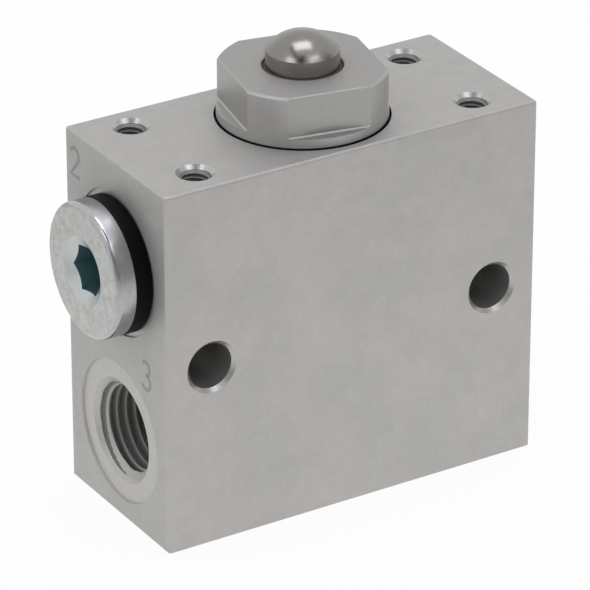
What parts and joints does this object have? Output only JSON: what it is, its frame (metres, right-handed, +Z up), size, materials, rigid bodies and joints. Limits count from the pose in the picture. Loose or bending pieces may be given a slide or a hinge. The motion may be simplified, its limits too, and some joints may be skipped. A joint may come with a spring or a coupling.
{
  "type": "pneumatic valve",
  "caption": "Rectangular poppet valve block with a domed push plunger in a flatted gland nut, threaded side ports, a port plug, and cross-drilled and tapped fixing holes.",
  "frame": {"origin": "centre of the block's flat base face", "axes": "+Z up along the plunger's axis, -X towards the face with the plugged port, -Y towards the broad face shown as the front"},
  "size_m": [0.0598, 0.025, 0.0613],
  "materials": {
    "anodised_block": "natural anodised, matt",
    "turned_aluminium": "turned and milled, satin",
    "polished_steel": "ground and polished",
    "zinc_plated_steel": "zinc plated, bluish in the socket",
    "spring_steel": "drawn wire",
    "brass": "turned",
    "bronze": "sintered",
    "seal_rubber": "moulded, matt"
  },
  "bodies": {
    "housing": {"valve_block": "anodised_block", "gland_nut": "turned_aluminium", "nut_o_ring": "seal_rubber", "wiper_ring": "seal_rubber", "guide_bush": "bronze", "plunger_seal": "seal_rubber", "seal_washer": "zinc_plated_steel", "circlip": "spring_steel", "plunger_spring": "spring_steel", "spring_washer": "zinc_plated_steel", "upper_cage": "brass", "seat_ring": "brass", "seat_ring_o_ring": "seal_rubber", "lower_cage": "brass", "poppet_spring": "spring_steel", "guide_sleeve": "brass", "guide_sleeve_o_ring": "seal_rubber", "stem_o_ring": "seal_rubber", "port_plug": "zinc_plated_steel", "port_plug_seal": "seal_rubber"},
    "plunger_unit": {"plunger": "polished_steel", "push_rod": "brass"},
    "poppet_unit": {"poppet_body": "brass", "poppet_seal": "seal_rubber"}
  },
  "joints": [
    {"name": "plunger_slide", "type": "slide", "parent": "housing", "child": "plunger_unit", "axis": [0, 0, -1], "range_m": [0, 0.0035], "stiffness_N_per_m": 1500, "springref_m": -0.006, "deforming": ["plunger_spring"]},
    {"name": "poppet_slide", "type": "slide", "parent": "housing", "child": "poppet_unit", "axis": [0, 0, -1], "range_m": [0, 0.0023], "stiffness_N_per_m": 400, "springref_m": -0.004, "deforming": ["poppet_spring"]}
  ],
  "couplings": [
    {"joint": "poppet_slide", "follows": "plunger_slide", "ratio": 0.657}
  ]
}
